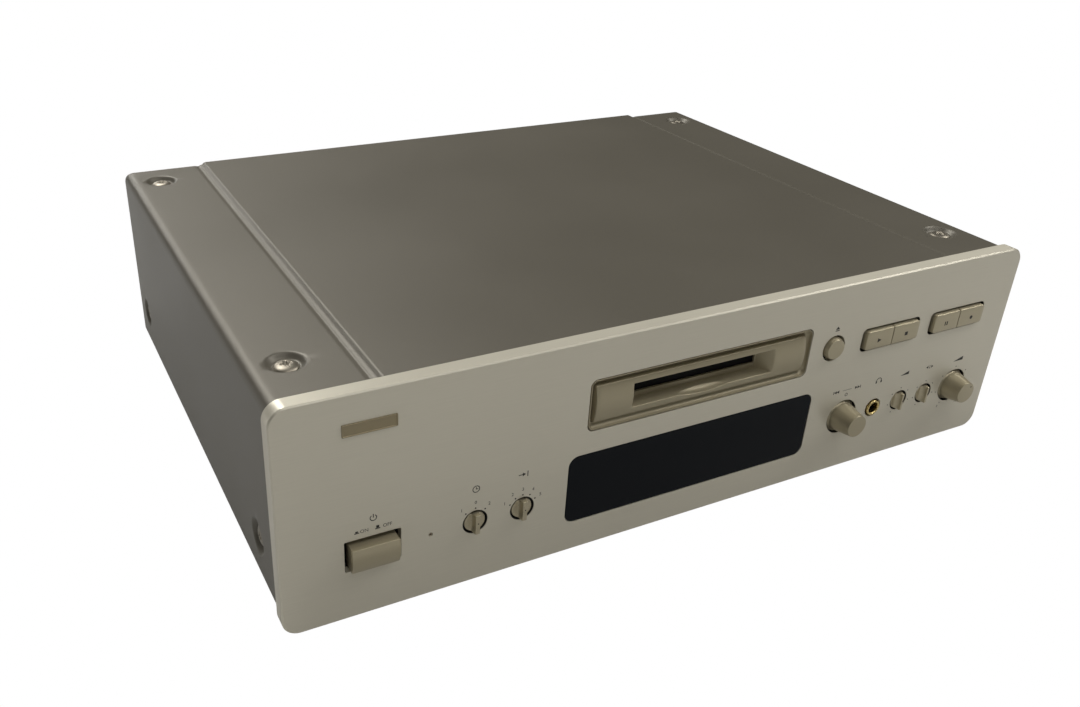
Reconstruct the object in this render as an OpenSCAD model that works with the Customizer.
// Full-width minidisc deck: sheet-metal case, extruded aluminium front, slot loading drive.
// Frame: x to the viewer's right, y towards the back, z up; z = 0 is the surface under the feet.
// Every module is drawn from the front panel: y = 0 on its face, z = 0 at its lower edge.

/* [Case] */
// Width of the front panel
panel_w = 434; // [420:1:450]
// Height of the front panel
panel_h = 116.2; // [112:0.2:130]
// Depth of the front panel's rim
rim_d = 8; // [7:0.5:12]
// Thickness of the front panel's face
face_t = 4; // [3:0.5:5]
// Width of the rim around the back of the panel
rim_w = 3; // [2:0.5:4]
// Radius of the front panel's corners
panel_r = 8.5; // [7:0.5:12]
// Step in from the panel's end to the cover's side
cover_in = 2; // [1:0.5:4]
// Distance from the panel's face to the cover's rear edge
case_d = 315.6; // [280:0.2:360]
// Thickness of the cover's sheet
cover_t = 1; // [0.8:0.1:1.4]
// Drop from the panel's top to the cover's side strips
strip_drop = 2.3; // [1.5:0.1:3.5]
// Rise of the cover's raised middle
plateau_h = 1.8; // [1:0.1:2.2]
// Distance from the cover's side to the raised middle
plateau_in = 46; // [40:1:55]
// Width of the slope up to the raised middle
plateau_slope = 5.2; // [3:0.2:8]
// Radius of the cover's long edges
cover_r = 5.5; // [4:0.5:8]
// Height of the cover's lower edge over the panel's lower edge
cover_z = 6.4; // [5:0.2:8]
// Height of the feet
foot_h = 15; // [12:0.5:20]
// Radius of the feet
foot_r = 22; // [16:1:26]
// Thickness of the chassis sheet
chassis_t = 1.2; // [0.8:0.1:1.6]
// Height of the chassis floor over the panel's lower edge
floor_z = 4.5; // [3.5:0.5:6]

/* [Disc slot] */
// Width of the cut-out in the panel
cutout_w = 134; // [126:1:140]
// Height of the cut-out in the panel
cutout_h = 28; // [25:0.5:30]
// Corner radius of the cut-out
cutout_r = 3.7; // [3:0.1:5]
// Height of the cut-out's middle
cutout_z = 81.45; // [79:0.05:84]
// Radius of the hollow round the raised plate
groove_r = 3; // [2.5:0.1:3.5]
// Height of the raised plate round the mouth
lip_h = 18.3; // [16:0.1:20]
// Width of the mouth at the front
mouth_w = 85.3; // [80:0.1:90]
// Height of the mouth at the front
mouth_h = 12.5; // [11:0.1:14]
// Depth of the mouth down to the slot
mouth_d = 8; // [6:0.5:9]
// Width of a disc cartridge
disc_w = 72; // [72:0.1:72.5]
// Thickness of a disc cartridge
disc_t = 5; // [5:0.1:5.2]
// Length of a disc cartridge
disc_l = 68; // [68:0.1:68.5]

/* [Controls] */
// Height of the lower row of controls
row_z = 34.3; // [30:0.1:38]
// Height of the key row
key_z = 80.3; // [76:0.1:84]
// Distance from the panel's end to the display window
window_in = 141.5; // [138:0.5:145]
// Height of the display window
window_h = 38.5; // [34:0.5:42]
// Height of the display window's middle
window_z = 36.25; // [32:0.25:40]
// Distance from the panel's end to the mains switch
power_in = 42.7; // [38:0.1:45]
// Distance from the panel's end to the mains lamp
lamp_in = 70.3; // [67:0.1:74]
// Distance from the panel's end to the timer knob
timer_in = 92.7; // [90:0.1:96]
// Distance from the panel's end to the input knob
input_in = 117.3; // [114:0.1:120]
// Radius of the two selector knobs
selector_r = 5.8; // [5.4:0.1:6.2]
// Radius of the eject key
eject_r = 6.4; // [5.5:0.1:7]
// Width of one key
key_w = 19.4; // [18:0.1:20]
// Height of one key
key_h = 11.6; // [10:0.1:12]
// Reach of the keys from the panel
key_reach = 2; // [1.5:0.1:2.6]
// Travel of the keys
key_travel = 0.8; // [0.5:0.1:1.2]
// Distance from the panel's end to the jog dial
jog_in = 116; // [113:0.1:119]
// Distance from the panel's end to the phones socket
phones_in = 92.5; // [90:0.1:95]
// Distance from the panel's end to the phones level knob
phones_level_in = 72.6; // [70:0.1:75]
// Distance from the panel's end to the balance knob
balance_in = 52.9; // [50:0.1:56]
// Radius of the two small level knobs
small_r = 5.6; // [5.2:0.1:6]
// Distance from the panel's end to the input level knob
level_in = 29.8; // [27:0.1:33]
// Radius of the tapered knobs where they leave the panel
dial_r = 9.8; // [9:0.1:10.2]
// Radius of the tapered knobs at their face
dial_face_r = 6.4; // [5.5:0.1:8]
// Reach of the jog dial from the panel
dial_reach = 12; // [9:0.5:15]
// Reach of the input level knob from the panel
level_reach = 10.6; // [8.5:0.1:12]
// Radius of the phones socket's bore
phones_r = 3.25; // [3.2:0.05:3.3]
// Diameter of the control shafts
shaft_d = 4; // [3.5:0.1:5]

/* [Drive] */
// Drop of the loaded cartridge onto the spindle
holder_drop = 5.5; // [4:0.1:6]
// Travel of the cam slide
cam_travel = 11; // [9:0.5:11]
// Travel of the optical pickup
pickup_travel = 17.5; // [14:0.5:17.5]
// Distance from the panel's face to the cartridge holder
holder_y = 24; // [23:0.5:30]
// Sheet thickness of the drive's metalwork
drive_t = 1.2; // [1:0.1:1.4]
// Module of the loading gears
tooth_m = 0.75; // [0.7:0.01:0.8]
// Pitch of the lead screw
screw_lead = 4; // [3:0.5:5]

/* [Sockets] */
// Reach of the jack sleeves behind the rear panel
jack_reach = 9.3; // [8:0.1:11]
// Outer diameter of the jack sleeves
jack_d = 8.3; // [8:0.1:8.6]
// Spacing of the jacks
jack_pitch = 18; // [16:0.5:22]
// Distance from the cover's side to the line jacks
line_in = 65; // [55:1:75]
// Distance from the line jacks to the digital sockets
digital_step = 66; // [62:1:72]
// Distance from the cover's side to the mains inlet
inlet_in = 33; // [30:1:45]

/* [Hidden] */
$fn = 40;

// fits
gap = 0.3;                  // between pieces that are laid in or beside each other
slide_fit = 0.15;           // beside pieces that slide
run_fit = 0.05;             // radial, between a shaft and its bore
cut = 1;                    // overshoot of cutting solids

// case
cover_w = panel_w - 2 * cover_in;
plateau_x = cover_w / 2 - plateau_in;
panel_z = foot_h - floor_z;
strip_z = panel_h - strip_drop;
rear_inset = 1.4;
rear_t = 1.2;
face_y = -(case_d + jack_reach - rear_inset - dial_reach) / 2;
rear_y = case_d - rear_inset - rear_t;
collar_y = rear_y + rear_t + 0.4;
dimple_r = 9.25;
dimple_d = 2.3;
top_screw_x = cover_w / 2 - 18.5;
screw_front_y = 40;
screw_rear_y = case_d - 21.6;
side_screw_z = 27;
screw_shank_r = 1.5;
screw_head_r = 5;
screw_head_h = 2.2;
side_x = cover_w / 2 - cover_t - dimple_d;
tab_z = strip_z - cover_t - dimple_d;
side_top = side_screw_z + 11;
foot_x = side_x - 51.7;
back_xs = [61.7 - side_x, 0, side_x - 61.7];
foot_front_y = 52;
foot_rear_y = case_d - 38;
foot_screw_r = 2;
pad_t = 2;
pad_r = 14;

// front
flange_t = 2.5;
frame_y = face_t + flange_t;
frame_t = 2.5;
frame_back = 24;
board_y = 20;
board_t = 1.6;
hole_gap = 0.6;
bezel_d = mouth_d + 1.2;
bezel_rim = 0.5;
lip_w = cutout_w - 2 * (gap + bezel_rim + groove_r);
lip_bow = 0.6;
lip_dz = 0.3;
lip_bow_r = 30;
slot_w = disc_w + 2.4;
slot_h = disc_t + 1.4;
flap_pin_r = 0.8;
flap_knuckle_r = 1.6;
flap_t = 1.5;
flap_y = bezel_d + flap_knuckle_r + 0.4;
flap_z = cutout_z + slot_h / 2 + 3.6;
ear_x = slot_w / 2 + 3.4;
ear_w = 2.5;
shaft_r = shaft_d / 2;
ridge_reach = 3;
lamp_r = 0.85;
window_w = panel_w - 2 * window_in;
tube_half = window_w / 2 - 9.5;
power_x = power_in - panel_w / 2;
lamp_x = lamp_in - panel_w / 2;
timer_x = timer_in - panel_w / 2;
input_x = input_in - panel_w / 2;
jog_x = panel_w / 2 - jog_in;
phones_x = panel_w / 2 - phones_in;
phones_level_x = panel_w / 2 - phones_level_in;
balance_x = panel_w / 2 - balance_in;
level_x = panel_w / 2 - level_in;
pair_gap = 0.4;
power_w = 22.3;
power_h = 14.2;
power_z = row_z + 0.3;
power_travel = 4;
power_stem = 15;
// the room left beside the slot is shared out between the eject key and the pairs of keys
pair_hole = 2 * key_w + 3.4;
eject_hole = eject_r + 1.1;
key_room = (panel_w - cutout_w) / 2 - 2 * eject_hole - 2 * pair_hole;
eject_x = cutout_w / 2 + 0.182 * key_room + eject_hole;
pair_a_x = eject_x + eject_hole + 0.24 * key_room + pair_hole / 2;
pair_b_x = pair_a_x + pair_hole + 0.166 * key_room;
key_xs = [pair_a_x - (key_w + pair_gap) / 2, pair_a_x + (key_w + pair_gap) / 2,
    pair_b_x - (key_w + pair_gap) / 2, pair_b_x + (key_w + pair_gap) / 2];
key_stem_xs = concat([eject_x], key_xs);
stem_r = 2;
socket_w = 13;
socket_h = 15;
stem_end = board_y - 5.6;
guide_back = 12;
board_z = 14;
main_w = 172;
main_corner = [side_x - 9.7 - main_w, holder_y + 94];
main_size = [main_w, rear_y - 19 - main_corner[1]];
supply_corner = [7.7 - side_x, holder_y + 20];
supply_size = [84, 0.528 * (rear_y - supply_corner[1])];
board_half = panel_w / 2 - 11;
board_top = key_z + 19.7;
screw_out = board_half - 6;
screw_in = window_w / 2 + 12.5;
board_screws = [[-screw_out, 12], [-screw_out, 58], [-screw_in, 10], [-screw_in, 60], [screw_in, 12],
    [screw_in, 62], [jog_x + 11, 56], [screw_out, 12], [screw_out, 95], [eject_x - 5.7, 95]];

// rear
line_x = cover_w / 2 - line_in;
digital_x = line_x - digital_step;
coax_x = digital_x + 26;
jack_z = 62;
inlet_x = inlet_in - cover_w / 2;

// drive
disc_y = holder_y + 1 + (disc_l + 1) / 2;
plate_top = -16 + drive_t;
holder_in_w = disc_w + 1;
holder_in_h = disc_t + 1;
holder_t = 0.8;
holder_l = disc_l + 2;
holder_x = holder_in_w / 2 + holder_t;
cam_x = holder_x + 1.1;
wall_x = cam_x + drive_t + 0.6;
pin_r = 1.2;
pin_y = [holder_y + 16, holder_y + 56];
cam_bottom = plate_top + 0.1;
base_l = 72.5;
gear_n = 24;
pinion_n = 12;
gear_r = tooth_m * gear_n / 2;
pinion_r = tooth_m * pinion_n / 2;
rack_x = -16;
gear_x = rack_x - gear_r;
gear_y = disc_y - 5;
gear_h = 2.8;
gear_z = plate_top + 0.2;
pinion_x = gear_x + (gear_r + pinion_r) * cos(120);
pinion_y = gear_y + (gear_r + pinion_r) * sin(120);
backlash = 0.06;
lens_x = 14.5;
rod_y = 16.5;
rod_z = -22;
rod_r = 1.5;
rod_x = [8, 56];
sled_x = [11.3, 33];
sled_z = [-27, -17.5];
screw_y = disc_y - 23;
screw_r = 1.6;
arm_y = disc_y + 40;
arm_z = 7;
stand_x = 62;
damper_h = 4;
damper_r = 3.4;
stand_top = -16 - damper_h;
damper_y = [holder_y + 5.5, holder_y + 66];

module place() {
    translate([0, face_y, panel_z]) children();
}

// flat shape in x and z, thickened from y0 back to y1
module slab(y0, y1) {
    translate([0, y1, 0]) rotate([90, 0, 0]) linear_extrude(y1 - y0) children();
}

// round bar along y, of radius r0 at y0 and r1 at y1
module rod(y0, y1, r0, r1 = -1) {
    translate([0, y1, 0]) rotate([90, 0, 0]) cylinder(r1 = r1 < 0 ? r0 : r1, r2 = r0, h = y1 - y0);
}

// round bar along x
module bar(x0, x1, r) {
    translate([x0, 0, 0]) rotate([0, 90, 0]) cylinder(r = r, h = x1 - x0);
}

// profile of radius and distance out of the panel, turned round the y axis
module turned() {
    rotate([90, 0, 0]) rotate_extrude() children();
}

// rectangle with round corners
module pill(w, h, r) {
    square([w - 2 * r, h], center = true);
    square([w, h - 2 * r], center = true);
    for (sx = [-1, 1], sz = [-1, 1])
        translate([sx * (w / 2 - r), sz * (h / 2 - r)]) circle(r);
}

// box given by its low and high corners
module block(a, b) {
    translate(a) cube(b - a);
}

// plate with round corners and a chamfer c round its front edge
module chamfered(w, h, r, y0, y1, c) {
    slab(y0 + c, y1) pill(w, h, r);
    for (sx = [-1, 1], sz = [-1, 1]) translate([sx * (w / 2 - r), 0, sz * (h / 2 - r)])
        rod(y0, y0 + c, r - c, r);
    translate([0, 0, r - h / 2]) linear_extrude(h - 2 * r)
        polygon([[c - w / 2, y0], [w / 2 - c, y0], [w / 2, y0 + c], [-w / 2, y0 + c]]);
    translate([w / 2 - r, 0, 0]) rotate([0, -90, 0]) linear_extrude(w - 2 * r)
        polygon([[c - h / 2, y0], [h / 2 - c, y0], [h / 2, y0 + c], [-h / 2, y0 + c]]);
}

// pan-head screw along -z with its head's seat at z = 0
module screw(head_r, head_h, shank_r, length) {
    difference() {
        rotate_extrude() polygon([[0, head_h], [head_r * 0.55, head_h * 0.92], [head_r * 0.86,
            head_h * 0.62], [head_r, head_h * 0.2], [head_r, 0], [shank_r, 0], [shank_r, -length + 0.8],
            [shank_r - 0.6, -length], [0, -length]]);
        for (a = [0, 90]) rotate(a)
            translate([-head_r * 0.55, -0.45, head_h * 0.35]) cube([head_r * 1.1, 0.9, head_h]);
    }
}

// ---- case ----

// openings for the slot, the window and the keys
module key_openings(y0, y1) {
    slab(y0, y1) {
        translate([0, cutout_z]) pill(cutout_w, cutout_h, cutout_r);
        translate([0, window_z]) pill(window_w, window_h, 5.5);
        translate([pair_a_x, key_z]) pill(pair_hole, key_h + 2.1, 3);
        translate([pair_b_x, key_z]) pill(pair_hole, key_h + 2.1, 3);
        translate([eject_x, key_z]) circle(eject_hole);
    }
}

// openings for the mains switch, the lamp and everything that turns
module control_openings(y0, y1) {
    slab(y0, y1) {
        translate([power_x, row_z + 0.5]) pill(power_w + 4.3, power_h + 2.2, 0.8);
        translate([lamp_x, row_z]) circle(lamp_r + 0.2);
        translate([timer_x, row_z]) circle(selector_r + hole_gap);
        translate([input_x, row_z]) circle(selector_r + hole_gap);
        translate([jog_x, row_z]) circle(dial_r + hole_gap);
        translate([phones_x, row_z]) circle(5.6);
        translate([phones_level_x, row_z]) circle(small_r + hole_gap);
        translate([balance_x, row_z]) circle(small_r + hole_gap);
        translate([level_x, row_z]) circle(dial_r + hole_gap);
    }
}

module front_panel() {
    color("#9b9889") place() difference() {
        translate([0, 0, panel_h / 2]) difference() {
            chamfered(panel_w, panel_h, panel_r, 0, rim_d, 0.7);
            slab(face_t, rim_d + cut) pill(panel_w - 2 * rim_w, panel_h - 2 * rim_w, panel_r - rim_w);
        }
        key_openings(-cut, face_t + cut);
        control_openings(-cut, face_t + cut);
    }
}

// outline of the wrapped cover, drawn in by an inset
module cover_outline(inset, low) {
    half = cover_w / 2;
    translate([-half + inset, low]) square([cover_w - 2 * inset, strip_z - cover_r - low]);
    translate([-half + cover_r, low]) square([cover_w - 2 * cover_r, strip_z - inset - low]);
    for (s = [-1, 1]) translate([s * (half - cover_r), strip_z - cover_r]) circle(cover_r - inset);
    top = strip_z - inset;
    polygon([[-plateau_x, top - 2], [-plateau_x, top], [-plateau_x + plateau_slope, top + plateau_h],
        [plateau_x - plateau_slope, top + plateau_h], [plateau_x, top], [plateau_x, top - 2]]);
}

// pressed dish that a screw head sits in, opening towards +z
module dimple() {
    foot = dimple_r - dimple_d;
    rotate_extrude() polygon([[screw_shank_r + 0.2, -dimple_d], [foot, -dimple_d],
        [dimple_r, 0], [dimple_r, -cover_t], [foot, -dimple_d - cover_t],
        [screw_shank_r + 0.2, -dimple_d - cover_t]]);
}

// puts its child at the four screws in the top and the four in the sides
module at_cover_screws() {
    for (s = [-1, 1], y = [screw_front_y, screw_rear_y]) {
        translate([s * top_screw_x, y, strip_z]) children();
        translate([s * cover_w / 2, y, side_screw_z]) rotate([0, s * 90, 0]) children();
    }
}

module top_cover() {
    color("#76736a") place() {
        difference() {
            slab(rim_d, case_d) difference() {
                cover_outline(0, cover_z);
                cover_outline(cover_t, cover_z - cut);
            }
            at_cover_screws() translate([0, 0, -cover_t - cut]) cylinder(r = dimple_r, h = 3 * cover_t);
        }
        at_cover_screws() dimple();
    }
}

module cover_screws() {
    color("#b9b5a8") place() at_cover_screws()
        translate([0, 0, -dimple_d]) screw(screw_head_r, screw_head_h, screw_shank_r, 7);
}

module bottom_chassis() {
    back = rear_y;
    color("#a9aaa6") place() difference() {
        union() {
            block([-side_x, frame_back, floor_z], [side_x, back, floor_z + chassis_t]);
            for (s = [-1, 1]) scale([s, 1, 1])
                block([side_x - chassis_t, frame_back, floor_z], [side_x, back, side_top]);
            block([-side_x, frame_back, floor_z], [side_x, frame_back + chassis_t, floor_z + 13]);
            block([-side_x, back - chassis_t, floor_z], [side_x, back, floor_z + 13]);
            // pressed ribs that stiffen the floor
            for (x = [-40, 0, 40]) translate([x, 130, floor_z + chassis_t])
                rotate([-90, 0, 0]) cylinder(r = 2.4, h = 150);
            // posts under the boards
            board_posts(floor_z + chassis_t - 0.2, board_z);
        }
        for (x = [-40, 0, 40]) translate([x, 129, floor_z - 0.2])
            rotate([-90, 0, 0]) cylinder(r = 1.6, h = 152);
        // vent slots under the transformer and the supply board
        for (i = [0:13]) slab_slot(21.7 - side_x + i * 5, 70, 100);
        for (i = [0:13]) slab_slot(21.7 - side_x + i * 5, 150, 180);
        for (i = [0:17]) slab_slot(side_x - 151.7 + i * 7, 150, 185);
        for (s = [-1, 1], y = [screw_front_y, screw_rear_y])
            translate([s * side_x, y, side_screw_z]) bar_through(screw_shank_r + 0.1);
        for (x = [-foot_x, foot_x], y = [foot_front_y, foot_rear_y])
            translate([x, y, floor_z - cut]) cylinder(r = foot_screw_r + 0.1, h = chassis_t + 2 * cut);
        for (x = back_xs) translate([x, 0, floor_z + 8])
            rod(back - 3, back + cut, screw_shank_r + 0.1);
    }
}

module slab_slot(x, y0, y1) {
    block([x - 1.3, y0, floor_z - cut], [x + 1.3, y1, floor_z + chassis_t + cut]);
}

module bar_through(r) {
    bar(-5, 5, r);
}

module posts_at(corner, size, z0, z1, r) {
    for (x = [corner[0] + 6, corner[0] + size[0] - 6], y = [corner[1] + 6, corner[1] + size[1] - 6])
        translate([x, y, z0]) cylinder(r = r, h = z1 - z0);
}

module board_posts(z0, z1, r = 3.5) {
    posts_at(main_corner, main_size, z0, z1, r);
    posts_at(supply_corner, supply_size, z0, z1, r);
}

module front_brackets() {
    color("#a9aaa6") place() for (s = [-1, 1]) scale([s, 1, 1]) difference() {
        union() {
            block([side_x - 2 * chassis_t, frame_back, floor_z + 14], [side_x - chassis_t, 62, tab_z]);
            block([top_screw_x - 10, frame_back + 2, tab_z - chassis_t],
                [side_x - chassis_t, 56, tab_z]);
            block([side_x - 14, frame_back, 40], [side_x - chassis_t, frame_back + chassis_t, tab_z]);
        }
        translate([top_screw_x, screw_front_y, tab_z - 3]) cylinder(r = screw_shank_r + 0.1, h = 5);
        translate([side_x, screw_front_y, side_screw_z]) bar_through(screw_shank_r + 0.1);
    }
}

module rear_panel() {
    color("#8e8b80") place() difference() {
        union() {
            slab(rear_y, rear_y + rear_t) difference() {
                cover_outline(cover_t + gap, floor_z + 0.2);
                translate([line_x, jack_z]) for (i = [-1, 1], k = [-1, 1])
                    translate([i * jack_pitch / 2, k * jack_pitch / 2]) circle(jack_d / 2 + 0.9);
                translate([coax_x, jack_z - jack_pitch / 2]) circle(jack_d / 2 + 0.9);
                for (i = [0:2]) translate(optical_at(i)) square([10.4, 10.4], center = true);
                translate([inlet_x, 32]) pill(23.4, 11.8, 5.8);
                for (s = [-1, 1]) translate([inlet_x + s * 16, 32]) circle(screw_shank_r + 0.1);
                for (x = back_xs) translate([x, floor_z + 8]) circle(screw_shank_r + 0.1);
                translate([line_x, jack_z]) circle(screw_shank_r + 0.1);
                translate([digital_x + 13, jack_z]) circle(screw_shank_r + 0.1);
            }
            for (s = [-1, 1]) scale([s, 1, 1])
                block([top_screw_x - 11, screw_rear_y - 8, tab_z - chassis_t],
                    [side_x - 1.5, rear_y + 0.2, tab_z]);
        }
        for (s = [-1, 1]) translate([s * top_screw_x, screw_rear_y, tab_z - 3])
            cylinder(r = screw_shank_r + 0.1, h = 5);
    }
}

module rear_screws() {
    color("#2a2a2a") place() {
        for (x = back_xs) translate([x, rear_y + rear_t, floor_z + 8])
            rotate([-90, 0, 0]) screw(2.8, 1.8, screw_shank_r, 6);
        for (s = [-1, 1]) translate([inlet_x + s * 16, rear_y + rear_t, 32])
            rotate([-90, 0, 0]) screw(2.8, 1.8, screw_shank_r, 6);
        translate([line_x, rear_y + rear_t, jack_z]) rotate([-90, 0, 0]) screw(2.8, 1.8, screw_shank_r, 6);
        translate([digital_x + 13, rear_y + rear_t, jack_z])
            rotate([-90, 0, 0]) screw(2.8, 1.8, screw_shank_r, 6);
    }
}

module at_feet() {
    for (x = [-foot_x, foot_x], y = [foot_front_y, foot_rear_y]) translate([x, y, 0]) children();
}

module feet() {
    color("#2b2a28") place() at_feet() difference() {
        translate([0, 0, -panel_z + pad_t - 1]) rotate_extrude() polygon([[pad_r + 0.2, 0],
            [foot_r - 4, 0], [foot_r - 3, 0.6], [foot_r, foot_h - 4], [foot_r, foot_h - 1],
            [0, foot_h - 1], [0, 4], [pad_r + 0.2, 4]]);
        translate([0, 0, -panel_z]) cylinder(r = 6, h = foot_h - 3);
        translate([0, 0, -panel_z]) cylinder(r = foot_screw_r + 0.1, h = foot_h + cut);
    }
}

module foot_pads() {
    color("#1b1b1b") place() at_feet() translate([0, 0, -panel_z]) difference() {
        cylinder(r = pad_r, h = pad_t + 2.9);
        translate([0, 0, -cut]) cylinder(r = 7, h = pad_t + 6);
    }
}

module foot_screws() {
    color("#b9b5a8") place() at_feet() translate([0, 0, -panel_z + foot_h - 3])
        rotate([180, 0, 0]) screw(4, 2.2, foot_screw_r, 7);
}

// ---- front ----

module front_subframe() {
    w = panel_w - 2 * rim_w - 2 * gap;
    h = panel_h - 2 * rim_w - 2 * gap;
    color("#1f1f20") place() difference() {
        translate([0, 0, panel_h / 2]) {
            slab(frame_y, frame_y + frame_t) pill(w, h, panel_r - rim_w - gap);
            slab(frame_y, frame_back) difference() {
                pill(w, h, panel_r - rim_w - gap);
                pill(w - 4, h - 4, panel_r - rim_w - 2);
            }
            // posts that carry the front board
            for (p = board_screws) translate([p[0], 0, p[1] - panel_h / 2]) rod(frame_y, board_y, 3);
            // guides for the stems of the keys
            for (x = key_stem_xs) translate([x, 0, key_z - panel_h / 2]) rod(frame_y, guide_back, 4);
        }
        control_openings(frame_y - cut, frame_y + frame_t + cut);
        slab(frame_y - cut, frame_y + frame_t + cut) {
            translate([0, cutout_z]) pill(cutout_w, cutout_h, cutout_r);
            translate([0, window_z]) pill(window_w - 2, window_h - 2, 5);
        }
        for (x = key_stem_xs) translate([x, 0, key_z])
            rod(frame_y - cut, guide_back + cut, stem_r + slide_fit);
    }
}

// hollow scooped out of the plate's middle by a slightly tilted cylinder
module finger_scoop() {
    translate([0, -1.5, cutout_z - mouth_h / 2 + 70 - 1.9]) rotate([-76, 0, 0])
        cylinder(r = 70, h = 12, $fn = 200);
}

module mouth() {
    low = cutout_z - mouth_h / 2;
    high = cutout_z + mouth_h / 2;
    back_w = slot_w / 2 + 0.4;
    front_w = mouth_w / 2;
    intersection() {
        translate([0, 0, low - cut]) linear_extrude(mouth_h + 2 * cut)
            polygon([[-front_w - 0.8, -1.4], [front_w + 0.8, -1.4], [back_w, mouth_d],
                [-back_w, mouth_d]]);
        translate([front_w + 3, 0, 0]) rotate([0, -90, 0]) linear_extrude(mouth_w + 6)
            polygon([[low, -1.4], [high, -1.4], [high - 1, mouth_d], [low + 0.5, mouth_d]]);
    }
}

module slot_bezel() {
    w = cutout_w - 2 * gap;
    h = cutout_h - 2 * gap;
    in_x = w / 2 - bezel_rim - groove_r;
    in_z = h / 2 - bezel_rim - groove_r;
    color("#8a8470") place() difference() {
        union() {
            translate([0, 0, cutout_z]) difference() {
                union() {
                    slab(0, bezel_d) pill(w, h, cutout_r - gap);
                    slab(face_t, frame_y) pill(w + 6, h + 6, cutout_r);
                }
                block([-in_x, -cut, -in_z], [in_x, groove_r, in_z]);
                for (s = [-1, 1]) {
                    translate([0, 0, s * in_z]) bar(-in_x, in_x, groove_r);
                    translate([s * in_x, 0, -in_z]) cylinder(r = groove_r, h = 2 * in_z);
                    for (k = [-1, 1]) translate([s * in_x, 0, k * in_z]) sphere(groove_r);
                }
            }
            // bowed plate round the mouth
            translate([0, 0, cutout_z + lip_dz]) intersection() {
                block([-lip_w / 2, -lip_bow, -lip_h / 2], [lip_w / 2, groove_r + 1, lip_h / 2]);
                translate([0, lip_bow_r - lip_bow, 0]) bar(-lip_w / 2 - 1, lip_w / 2 + 1, lip_bow_r);
            }
            for (s = [-1, 1]) scale([s, 1, 1])
                block([ear_x, bezel_d - 0.2, flap_z - 4], [ear_x + ear_w, flap_y + 2.2, flap_z + 2.2]);
        }
        mouth();
        finger_scoop();
        translate([0, 0, cutout_z]) slab(mouth_d - cut, bezel_d + cut) square([slot_w, slot_h],
            center = true);
        translate([0, flap_y, flap_z]) bar(-ear_x - ear_w - cut, ear_x + ear_w + cut, flap_pin_r + 0.02);
    }
}

module disc_flap() {
    half = ear_x - gap;
    color("#17171a") place() difference() {
        union() {
            block([-half, bezel_d + gap, cutout_z - slot_h / 2 - 0.6],
                [half, bezel_d + gap + flap_t, flap_z]);
            translate([0, flap_y, flap_z]) bar(-half, half, flap_knuckle_r);
        }
        translate([0, flap_y, flap_z]) bar(-half - cut, half + cut, flap_pin_r + run_fit);
    }
}

module flap_pin() {
    color("#c0c0c0") place() translate([0, flap_y, flap_z])
        bar(-ear_x - ear_w, ear_x + ear_w, flap_pin_r);
}

module display_window() {
    color("#151618") place() translate([0, 0, window_z]) {
        slab(0.1, face_t) pill(window_w - 0.6, window_h - 0.6, 5.2);
        slab(face_t, frame_y) pill(window_w + 5, window_h + 5, 5.5);
    }
}

module display_tube() {
    color("#3d4a4a") place() translate([0, 0, window_z]) {
        block([-tube_half, frame_y + 4, -12], [tube_half, board_y - 3, 12]);
        translate([-tube_half, board_y - 5, 0]) bar(-5, 1, 1.6);
        pins = floor(tube_half / 4) - 1;
        for (i = [-pins:pins], s = [-1, 1])
            block([i * 4 - 0.3, board_y - 3.4, s * 11 - 0.3], [i * 4 + 0.3, board_y, s * 11 + 0.3]);
    }
}

module front_board() {
    color("#3c5a33") place() difference() {
        union() {
            block([-board_half, board_y, 7], [board_half, board_y + board_t, 63.5]);
            block([eject_x - 11.7, board_y, 63], [board_half, board_y + board_t, board_top]);
        }
        for (p = board_screws) translate([p[0], 0, p[1]]) rod(board_y - cut, board_y + board_t + cut, 1.3);
        translate([phones_x, 0, row_z]) slab(board_y - cut, board_y + board_t + cut)
            square([socket_w + 2 * gap, socket_h + 2 * gap], center = true);
        translate([power_x, 0, power_z])
            block([-11, board_y - cut, -9], [11, board_y + board_t + cut, 9]);
    }
}

module key_switches() {
    color("#2c2c2e") place() for (x = key_stem_xs) translate([x, 0, key_z]) {
        block([-3, board_y - 3.6, -3], [3, board_y, 3]);
        rod(stem_end + key_travel + 0.1, board_y - 3.5, 1.7);
    }
}

module key(x) {
    color("#8a8470") place() translate([x, 0, key_z]) {
        difference() {
            chamfered(key_w, key_h, 1.6, -key_reach, frame_y - 1.5, 0.5);
            slab(0, frame_y) pill(key_w - 3, key_h - 3, 0.8);
        }
        block([-1.2, -1.2, -key_h / 2 + 1], [1.2, 2, key_h / 2 - 1]);
        rod(-1.2, stem_end, stem_r);
    }
}

module play_button() {
    key(key_xs[0]);
}

module stop_button() {
    key(key_xs[1]);
}

module pause_button() {
    key(key_xs[2]);
}

module record_button() {
    key(key_xs[3]);
}

module eject_button() {
    color("#8a8470") place() translate([eject_x, 0, key_z]) turned()
        polygon([[0, 1.9], [eject_r - 1.4, 1.8], [eject_r - 0.4, 1.4], [eject_r, 0.9],
            [eject_r, -frame_y + 1.5], [stem_r, -frame_y + 1.5], [stem_r, -stem_end],
            [0, -stem_end]]);
}

module power_button() {
    color("#8a8470") place() translate([power_x, 0, power_z]) {
        intersection() {
            slab(-5, frame_y - 2) pill(power_w, power_h, 0.8);
            // bowed face that leans back towards its lower edge
            translate([0, 0, 2.2]) rotate([4.5, 0, 0]) translate([0, 40 - 4.8, 0])
                bar(-power_w, power_w, 40);
        }
        block([-4, frame_y - 3, -3], [4, power_stem, 3]);
    }
}

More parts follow.
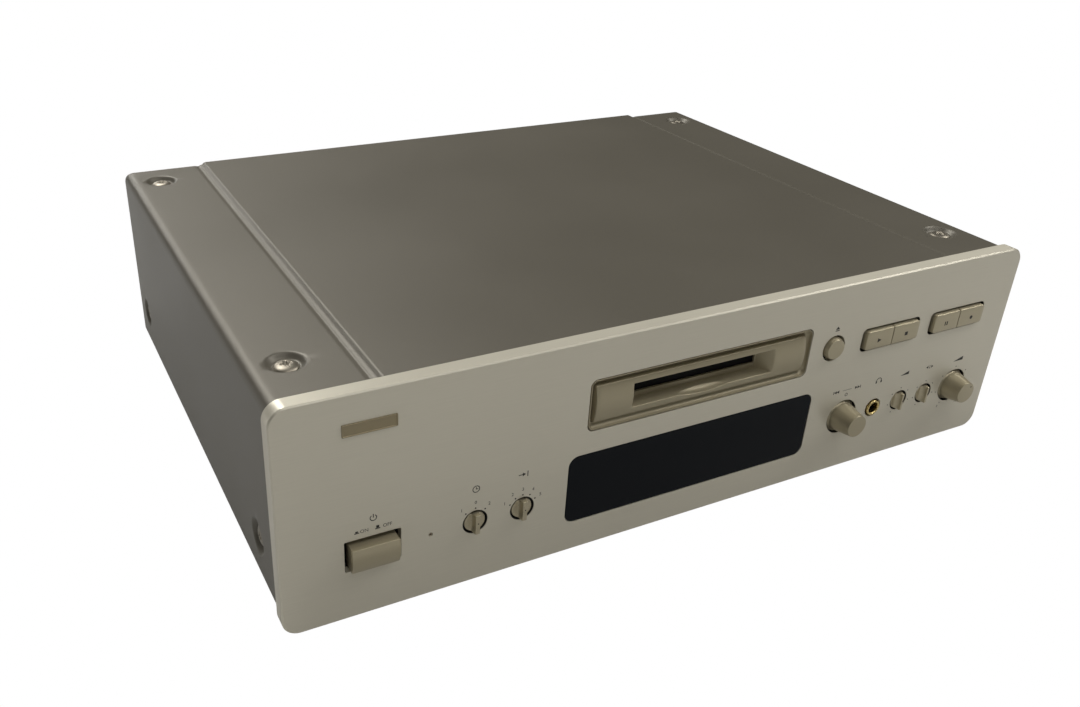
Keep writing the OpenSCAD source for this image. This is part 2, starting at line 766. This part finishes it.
module power_switch() {
    way_end = power_stem + power_travel + 4 * slide_fit;
    color("#26262a") place() translate([power_x, 0, power_z]) difference() {
        block([-9, frame_y + frame_t + 0.8, -7.5], [9, 34, 7.5]);
        block([-4 - slide_fit, frame_y, -3 - slide_fit], [4 + slide_fit, way_end, 3 + slide_fit]);
    }
}

module power_lamp() {
    color("#7a1d1d") place() translate([lamp_x, 0, row_z]) {
        turned() polygon([[0, -0.4], [lamp_r - 0.4, -0.55], [lamp_r, -1],
            [lamp_r, -frame_y - frame_t - 1], [0, -frame_y - frame_t - 1]]);
        for (s = [-1, 1]) block([s * 0.5 - 0.2, frame_y + frame_t, -0.2], [s * 0.5 + 0.2, board_y, 0.2]);
    }
}

// flush knob whose face is scooped out to leave an upright grip
module grip_knob(x, r) {
    color("#8a8470") place() translate([x, 0, row_z]) {
        difference() {
            turned() polygon([[0, ridge_reach], [r - 0.5, ridge_reach], [r, ridge_reach - 0.5],
                [r, -2.6], [0, -2.6]]);
            for (s = [-1, 1]) translate([s * (r - 0.1), -ridge_reach - 0.6, -r - cut])
                cylinder(r = ridge_reach + 1.4, h = 2 * (r + cut));
        }
        rod(2.4, board_y - 3, shaft_r);
    }
}

module timer_knob() {
    grip_knob(timer_x, selector_r);
}

module input_knob() {
    grip_knob(input_x, selector_r);
}

module phones_level_knob() {
    grip_knob(phones_level_x, small_r);
}

module balance_knob() {
    grip_knob(balance_x, small_r);
}

// shaft bearing and round body behind a rotary control
module control_body(x, r, bore_r) {
    translate([x, 0, row_z]) difference() {
        union() {
            rod(8, board_y - 6, shaft_r + 1.6);
            rod(board_y - 7, board_y, r);
        }
        rod(7, board_y - 1.5, bore_r);
    }
}

module rotary_switches() {
    color("#6f7072") place() for (x = [timer_x, input_x]) control_body(x, 8, shaft_r + run_fit);
}

module level_pots() {
    color("#6f7072") place() {
        control_body(phones_level_x, 6, shaft_r + run_fit);
        control_body(balance_x, 6, shaft_r + run_fit);
        control_body(level_x, 8.5, shaft_r + run_fit);
    }
}

// tapered knob: a flared skirt, a long straight taper and a softly rounded face
module dial(x, reach) {
    color("#8a8470") place() translate([x, 0, row_z]) {
        turned() polygon([[0, reach], [dial_face_r - 0.8, reach], [dial_face_r - 0.2, reach - 0.25],
            [dial_face_r, reach - 0.9], [dial_face_r + 1.2, 3.8], [dial_face_r + 1.7, 2],
            [dial_r - 1, 0.6], [dial_r - 0.2, -0.4], [dial_r, -1], [dial_r, -2.4], [0, -2.4]]);
        rod(2, board_y - 3, shaft_r);
    }
}

module jog_dial() {
    dial(jog_x, dial_reach);
}

module input_level_knob() {
    dial(level_x, level_reach);
}

module jog_rotor() {
    color("#b8b8b4") place() translate([jog_x, 0, row_z]) difference() {
        rod(7, board_y - 2, shaft_r + 1);
        rod(6, board_y, shaft_r + run_fit);
    }
}

module jog_encoder() {
    color("#6f7072") place() control_body(jog_x, 7.5, shaft_r + 1 + run_fit);
}

module phones_bush() {
    color("#c9a24a") place() translate([phones_x, 0, row_z]) difference() {
        union() {
            turned() polygon([[0, -0.6], [4.4, -0.6], [4.9, -1.1], [4.9, -5], [0, -5]]);
            rod(4, 12, 4.6);
        }
        rod(-cut, 13, phones_r);
        turned() polygon([[0, 0.5], [4, 0.5], [phones_r, -1.6], [0, -1.6]]);
    }
}

module phones_socket() {
    color("#1d1d1f") place() translate([phones_x, 0, row_z]) difference() {
        union() {
            slab(12, 44) pill(socket_w, socket_h, 1);
            slab(10, 12) difference() {
                pill(socket_w, socket_h, 1);
                circle(4.6 + 0.05);
            }
        }
        rod(9, 42.5, phones_r);
    }
}

// ---- rear ----

function optical_at(i) = [digital_x - 16 + (i % 2) * 21, i < 2 ? 71 : 53];

module jack_places() {
    for (i = [-1, 1], k = [-1, 1]) translate([line_x + i * jack_pitch / 2, 0, jack_z + k * jack_pitch / 2])
        children();
    translate([coax_x, 0, jack_z - jack_pitch / 2]) children();
}

module line_jack_block() {
    color("#1f1f20") place() difference() {
        union() {
            translate([line_x, 0, jack_z]) slab(rear_y - 14, rear_y) pill(36, 37, 2);
            translate([coax_x, 0, jack_z - jack_pitch / 2]) slab(rear_y - 14, rear_y) pill(15, 17, 2);
            jack_places() rod(rear_y - 1, collar_y, jack_d / 2 + 0.6);
            jack_places() rod(rear_y - 1, rear_y + rear_t + jack_reach - 1.6, jack_d / 2 - 1);
        }
        jack_places() difference() {
            rod(rear_y - 3, collar_y + cut, jack_d / 2 - 0.18);
            rod(rear_y - 4, collar_y + 2 * cut, jack_d / 2 - 1);
        }
        jack_places() rod(rear_y - 6, rear_y + rear_t + jack_reach + cut, 1.7);
        translate([line_x, 0, jack_z]) rod(rear_y - 6, rear_y + cut, screw_shank_r + 0.1);
    }
}

module jack_sleeves() {
    color("#c9a24a") place() jack_places() difference() {
        union() {
            rod(rear_y - 2.9, collar_y + 0.2, jack_d / 2 - 0.2);
            rod(collar_y + 0.1, rear_y + rear_t + jack_reach, jack_d / 2 - 0.02);
        }
        rod(rear_y - 4, rear_y + rear_t + jack_reach + cut, jack_d / 2 - 0.98);
    }
}

module optical_sockets() {
    color("#232325") place() for (i = [0:2]) {
        p = optical_at(i);
        translate([p[0], 0, p[1]]) difference() {
            slab(rear_y - 13, rear_y + rear_t + 0.6) square([10, 10], center = true);
            slab(rear_y - 8, rear_y + rear_t + cut) square([8.2, 8.2], center = true);
        }
    }
}

module mains_inlet() {
    color("#1b1b1c") place() translate([inlet_x, 0, 32]) {
        difference() {
            union() {
                slab(rear_y - 20, rear_y + rear_t) pill(23, 11.4, 5.6);
                slab(rear_y - 2, rear_y) difference() {
                    pill(42, 16, 3);
                    for (s = [-1, 1]) translate([s * 16, 0]) circle(screw_shank_r + 0.1);
                }
            }
            slab(rear_y - 13, rear_y + rear_t + cut) {
                for (s = [-1, 1]) translate([s * 5.6, 0]) circle(4.45);
                square([12, 7.6], center = true);
            }
        }
        for (s = [-1, 1]) translate([s * 4.3, 0, 0]) rod(rear_y - 14, rear_y - 2.5, 1.2);
    }
}

// ---- electronics ----

module board_plate(corner, size) {
    difference() {
        block([corner[0], corner[1], board_z], [corner[0] + size[0], corner[1] + size[1], board_z + 1.6]);
        posts_at(corner, size, board_z - cut, board_z + 3, 1.6);
    }
}

module main_board() {
    top = board_z + 1.5;
    color("#3c5a33") place() {
        board_plate(main_corner, main_size);
        translate([main_corner[0], main_corner[1], top]) {
            l = main_size[1];
            translate([30, 0.3 * l, 0]) cube([20, 20, 2.4]);
            translate([70, 0.18 * l, 0]) cube([28, 28, 2.6]);
            translate([120, 0.47 * l, 0]) cube([14, 24, 3]);
            translate([26, 0.64 * l, 0]) cube([16, 12, 3]);
            for (i = [0:5]) translate([80 + i * 11, 0.75 * l, 0]) cylinder(r = 4, h = 12);
            for (i = [0:3]) translate([30 + i * 13, 0.875 * l, 0]) cylinder(r = 3.2, h = 9);
            for (i = [0:2]) translate([60 + i * 30, 6, 0]) cube([22, 6, 9]);
        }
    }
}

module power_board() {
    top = board_z + 1.5;
    color("#7a5a33") place() {
        board_plate(supply_corner, supply_size);
        translate([supply_corner[0], supply_corner[1], top]) {
            for (i = [0:1], k = [0:1]) translate([18 + i * 24, 26 + k * 24, 0]) cylinder(r = 9, h = 32);
            for (i = [0:2]) translate([64, 22 + i * 16, 0]) cylinder(r = 5, h = 20);
            // finned heat sink
            translate([12, 88, 0]) cube([60, 3, 38]);
            for (i = [0:9]) translate([13 + i * 6.4, 90.5, 0]) cube([1.6, 13.5, 38]);
        }
    }
}

module power_transformer() {
    base = floor_z + chassis_t;
    middle = (supply_corner[1] + supply_size[1] + rear_y) / 2 - 13.5;
    color("#5a4a3a") place() translate([chassis_t + 48.5 - side_x, middle, 0]) {
        difference() {
            block([-33, -19, base + 2], [33, 19, base + 58]);
            block([-22, -20, base + 13], [-11, 20, base + 47]);
            block([11, -20, base + 13], [22, 20, base + 47]);
        }
        block([-21.7, -29, base + 13.3], [21.7, 29, base + 46.7]);
        difference() {
            block([-46, -17, base], [46, 17, base + 2.1]);
            for (s = [-1, 1]) translate([s * 40, 0, base - cut]) cylinder(r = 2.1, h = 5);
        }
    }
}

// ---- drive, measured from the slot's middle plane ----

module drive() {
    translate([0, face_y, panel_z + cutout_z]) children();
}

module drive_stand() {
    low = floor_z + chassis_t - cutout_z;
    front = frame_back + chassis_t + gap;
    color("#a9aaa6") drive() for (s = [-1, 1]) scale([s, 1, 1]) difference() {
        union() {
            block([stand_x, front, low], [stand_x + drive_t, holder_y + base_l, stand_top]);
            block([stand_x - 12, front, stand_top - drive_t],
                [stand_x + drive_t, holder_y + base_l, stand_top]);
            block([stand_x, holder_y + 4, low], [stand_x + 14, holder_y + base_l, low + drive_t]);
        }
        // clear of the lugs, the rods and the lead screw
        block([stand_x - 13, screw_y - 3.5, stand_top - 2],
            [stand_x - 2, disc_y + rod_y + 4.5, stand_top + 1]);
        for (y = damper_y) {
            translate([stand_x - 6, y, stand_top - 5]) cylinder(r = 1.7, h = 8);
            translate([stand_x + 8, y + 4, low - cut]) cylinder(r = 1.7, h = 4);
        }
        block([stand_x - cut, holder_y + 20, low + 14], [stand_x + 4, holder_y + 56, stand_top - 10]);
    }
}

module at_dampers() {
    for (s = [-1, 1], y = damper_y) translate([s * (stand_x - 6), y, 0]) children();
}

module drive_dampers() {
    color("#1b1b1b") drive() at_dampers() difference() {
        union() {
            translate([0, 0, stand_top]) cylinder(r = damper_r, h = damper_h);
            translate([0, 0, stand_top + damper_h]) cylinder(r = 2, h = drive_t + 0.5);
            translate([0, 0, stand_top + damper_h + drive_t + 0.1]) cylinder(r = damper_r - 0.5, h = 1.5);
        }
        translate([0, 0, stand_top - cut]) cylinder(r = 1, h = 12);
    }
}

// round-ended slot for a cam pin that runs by dy and dz from its rest place
module cam_slot(dy, dz, r) {
    turn = atan2(dz, dy);
    step = 15;
    polygon(concat([for (a = [90:step:270]) r * [cos(turn + a), sin(turn + a)]],
        [for (a = [-90:step:90]) [dy, dz] + r * [cos(turn + a), sin(turn + a)]]));
}

// puts a shape drawn in y and z on a wall from x0 to x1
module on_wall(x0, x1) {
    translate([x0, 0, 0]) rotate([90, 0, 90]) linear_extrude(x1 - x0) children();
}

module drive_base() {
    back = holder_y + base_l;
    low = plate_top - drive_t;
    color("#9a9a96") drive() difference() {
        union() {
            block([-stand_x + 1, holder_y + 1, low], [stand_x - 1, back, plate_top]);
            for (s = [-1, 1]) scale([s, 1, 1])
                on_wall(wall_x, wall_x + drive_t) difference() {
                    translate([holder_y + 1, low]) square([base_l - 1, 20.5]);
                    for (y = pin_y) translate([y, 0]) cam_slot(0, -holder_drop, pin_r + slide_fit);
                }
            // lugs that hold the guide rods and the lead screw
            for (x = rod_x, s = [-1, 1]) translate([x, disc_y + s * rod_y, 0]) lug(4);
            for (x = rod_x) translate([x, screw_y, 0]) lug(3);
            translate([gear_x, gear_y, plate_top - 0.1]) cylinder(r = 1.5, h = gear_h + 0.7);
        }
        translate([0, disc_y, low - cut]) cylinder(r = 10.8, h = 4);
        block([9, disc_y - 7, low - cut], [37, disc_y + 7, plate_top + cut]);
        at_dampers() translate([0, 0, low - cut]) cylinder(r = 2.05, h = 4);
        translate([pinion_x, pinion_y, low - cut]) cylinder(r = 2.2, h = 4);
        for (s = [-1, 1]) translate([0, disc_y + s * rod_y, rod_z])
            bar(rod_x[0] - 1, rod_x[1] + 3, rod_r + 0.02);
        translate([0, screw_y, rod_z]) bar(rod_x[0] - 1, rod_x[1] + 3, 1 + run_fit);
    }
}

module lug(half) {
    block([0, -half, rod_z - 4], [drive_t, half, plate_top - 0.2]);
}

module disc_holder() {
    front = holder_y;
    back = holder_y + holder_l;
    half_h = holder_in_h / 2 + holder_t;
    color("#b5b5b0") drive() {
        difference() {
            block([-holder_x, front, -half_h], [holder_x, back, half_h]);
            block([-holder_in_w / 2, front - cut, -holder_in_h / 2],
                [holder_in_w / 2, back - holder_t, holder_in_h / 2]);
            // open floor over the spindle and the pickup
            block([-holder_in_w / 2 + 7, front + 5, -half_h - cut],
                [holder_in_w / 2 - 2.5, back - 6, -holder_in_h / 2 + cut]);
            // window for the head and its arm, open to the back
            block([lens_x - 5, disc_y - 8, 0], [lens_x + pickup_travel + 4.4, back + cut, half_h + cut]);
            block([-28, front + 12, 0], [-6, back - 10, half_h + cut]);
        }
        for (s = [-1, 1], y = pin_y) scale([s, 1, 1]) translate([0, y, 0])
            bar(holder_x - 0.2, wall_x + drive_t + 0.8, pin_r);
    }
}

module cam_slide() {
    front = holder_y + 2;
    back = holder_y + 61;
    color("#d8d4c4") drive() {
        for (s = [-1, 1]) scale([s, 1, 1]) on_wall(cam_x, cam_x + drive_t) difference() {
            translate([front, cam_bottom]) square([back - front, 4 - cam_bottom]);
            for (y = pin_y) translate([y, 0]) cam_slot(-cam_travel, -holder_drop, pin_r + slide_fit);
        }
        block([-cam_x - 0.1, front, cam_bottom], [cam_x + 0.1, front + 6, cam_bottom + drive_t]);
        block([rack_x + 1.5, front + 5, cam_bottom], [rack_x + 6, gear_y + 5.5, cam_bottom + drive_t]);
        translate([0, 0, gear_z]) linear_extrude(gear_h) rack();
    }
}

// toothed strip beside the loading gear, with a gap opposite the gear's middle
module rack() {
    pitch = PI * tooth_m;
    add = 0.8 * tooth_m;
    ded = 1.15 * tooth_m;
    tip = pitch / 4 - add * tan(20) - backlash;
    root = pitch / 4 + ded * tan(20) - backlash;
    translate([rack_x + ded, gear_y - 15.5]) square([1.6, 21]);
    for (i = [-6:1]) translate([rack_x, gear_y + (i + 0.5) * pitch])
        polygon([[ded + 0.1, -root], [-add, -tip], [-add, tip], [ded + 0.1, root]]);
}

function inv(a) = tan(a) * 180 / PI - a;
function flank(n, r) = let (rb = tooth_m * n / 2 * cos(20), a = r > rb ? acos(rb / r) : 0)
    90 / n - backlash / (tooth_m * n / 2) * 180 / PI + inv(20) - inv(a);

// spur gear with involute flanks and a tooth on the +x axis
module spur(n) {
    rp = tooth_m * n / 2;
    radii = [rp - 1.1 * tooth_m, rp - 0.5 * tooth_m, rp, rp + 0.45 * tooth_m, rp + 0.8 * tooth_m];
    polygon([for (i = [0:n - 1], k = [-5, -4, -3, -2, -1, 1, 2, 3, 4, 5])
        let (r = radii[5 - abs(k)], a = i * 360 / n + sign(k) * flank(n, r))
        [r * cos(a), r * sin(a)]]);
}

module loading_gear() {
    color("#e8e4d8") drive() translate([gear_x, gear_y, gear_z]) difference() {
        linear_extrude(gear_h) spur(gear_n);
        translate([0, 0, -cut]) cylinder(r = 1.5 + run_fit, h = gear_h + 2 * cut);
        for (a = [30:60:330]) rotate(a) translate([5, 0, -cut]) cylinder(r = 1.3, h = gear_h + 2 * cut);
    }
}

module loading_pinion() {
    color("#e8e4d8") drive() translate([pinion_x, pinion_y, gear_z]) {
        rotate(15) linear_extrude(gear_h) spur(pinion_n);
        translate([0, 0, -4.6]) cylinder(r = 1, h = 5);
    }
}

module loading_motor() {
    color("#9fa3a6") drive() translate([pinion_x, pinion_y, plate_top - drive_t]) difference() {
        union() {
            translate([0, 0, -19]) cylinder(r = 7.5, h = 19);
            cylinder(r = 2, h = drive_t);
        }
        translate([0, 0, -8]) cylinder(r = 1 + run_fit, h = 12);
    }
}

module spindle_motor() {
    color("#8f9294") drive() translate([0, disc_y, 0]) difference() {
        union() {
            translate([0, 0, -20]) cylinder(r = 10.5, h = 20 + plate_top - 0.1);
            translate([0, 0, -17.2]) cylinder(r = 13, h = 1.2);
        }
        translate([0, 0, -19]) cylinder(r = 1 + run_fit, h = 12);
        block([9.2, -14, -17.8], [14, 14, -15.9]);
    }
}

module turntable() {
    color("#d0d0cc") drive() translate([0, disc_y, 0]) {
        translate([0, 0, -18.6]) cylinder(r = 1, h = 12);
        rotate_extrude() polygon([[0, -10.5], [7.5, -10.5], [7.5, -8.8], [6.6, -8.4], [3.6, -8.4],
            [3.4, -6.6], [1.9, -6], [1.9, -4.6], [0, -4.4]]);
    }
}

module optical_pickup() {
    color("#2d2f33") drive() difference() {
        union() {
            block([sled_x[0], disc_y - rod_y + 3, sled_z[0]], [sled_x[1], disc_y + rod_y - 3, sled_z[1]]);
            translate([0, disc_y - rod_y, rod_z]) bar(sled_x[0], sled_x[1], 3.4);
            block([sled_x[0], disc_y - rod_y, rod_z - 3], [sled_x[1], disc_y, rod_z + 3]);
            translate([0, disc_y + rod_y, rod_z]) bar(sled_x[0] + 7, sled_x[0] + 13, 3.4);
            block([sled_x[0] + 7, disc_y, rod_z - 3], [sled_x[0] + 13, disc_y + rod_y, rod_z + 3]);
            // nut on the lead screw
            block([sled_x[0] + 8, screw_y - 3.2, rod_z - 3.2], [sled_x[0] + 14, disc_y - 14, rod_z + 3.2]);
            // lens turret
            block([lens_x - 3.2, disc_y - 5.5, sled_z[1] - 0.2], [lens_x + 4, disc_y + 5.5, -11.4]);
            translate([lens_x, disc_y, -11.5]) cylinder(r1 = 3, r2 = 2.3, h = 1.7);
            // column that carries the head arm
            block([lens_x - 5, disc_y + rod_y - 5, sled_z[0] + 1], [lens_x + 6, arm_y + 1, sled_z[0] + 3]);
            block([lens_x - 5, arm_y - 1, sled_z[0] + 1], [lens_x + 6, arm_y + 1, arm_z - 2.8]);
            for (x = [lens_x - 5, lens_x + 4])
                block([x, arm_y - 2, arm_z - 3], [x + 2, arm_y + 2, arm_z + 2]);
        }
        for (s = [-1, 1]) translate([0, disc_y + s * rod_y, rod_z])
            bar(sled_x[0] - cut, sled_x[1] + cut, rod_r + run_fit);
        translate([0, screw_y, rod_z]) bar(sled_x[0], sled_x[1], screw_r + 0.1);
        translate([0, arm_y, arm_z]) bar(lens_x - 6, lens_x + 7, 0.8 + run_fit);
    }
}

module guide_rods() {
    color("#c8c8c8") drive() for (s = [-1, 1]) translate([0, disc_y + s * rod_y, rod_z])
        bar(rod_x[0], rod_x[1] + drive_t, rod_r);
}

module lead_screw() {
    turns = (rod_x[1] - rod_x[0] - 6) / screw_lead;
    color("#c8c8c8") drive() translate([0, screw_y, rod_z]) {
        bar(rod_x[0] - 3, rod_x[1] + drive_t, 1);
        translate([rod_x[0] + 3, 0, 0]) rotate([0, 90, 0])
            linear_extrude(turns * screw_lead, twist = -360 * turns, slices = round(turns * 8), $fn = 8)
                translate([0.35, 0]) circle(screw_r - 0.35);
    }
}

module sled_motor() {
    color("#9fa3a6") drive() translate([0, screw_y, rod_z]) difference() {
        union() {
            bar(rod_x[0] - 21, rod_x[0] - 1.5, 6);
            bar(rod_x[0] - 2, rod_x[0], 2);
        }
        bar(rod_x[0] - 4, rod_x[0] + cut, 1 + run_fit);
    }
}

module head_arm() {
    color("#b5b5b0") drive() {
        difference() {
            union() {
                translate([0, arm_y, arm_z]) bar(lens_x - 2.8, lens_x + 3.8, 1.8);
                block([lens_x - 2.6, disc_y - 3, arm_z + 0.2], [lens_x + 2.6, arm_y, arm_z + 1]);
            }
            translate([0, arm_y, arm_z]) bar(lens_x - 6, lens_x + 7, 0.8 + run_fit);
        }
        translate([lens_x, disc_y, arm_z - 1.6]) cylinder(r = 2.4, h = 2);
    }
}

front_panel();
top_cover();
bottom_chassis();
rear_panel();
front_brackets();
cover_screws();
rear_screws();
feet();
foot_pads();
foot_screws();
front_subframe();
slot_bezel();
disc_flap();
flap_pin();
display_window();
display_tube();
front_board();
key_switches();
power_button();
power_switch();
power_lamp();
eject_button();
play_button();
stop_button();
pause_button();
record_button();
timer_knob();
input_knob();
rotary_switches();
jog_dial();
jog_rotor();
jog_encoder();
phones_bush();
phones_socket();
phones_level_knob();
balance_knob();
input_level_knob();
level_pots();
line_jack_block();
jack_sleeves();
optical_sockets();
mains_inlet();
main_board();
power_board();
power_transformer();
drive_stand();
drive_dampers();
drive_base();
disc_holder();
cam_slide();
loading_gear();
loading_pinion();
loading_motor();
spindle_motor();
turntable();
optical_pickup();
guide_rods();
lead_screw();
sled_motor();
head_arm();
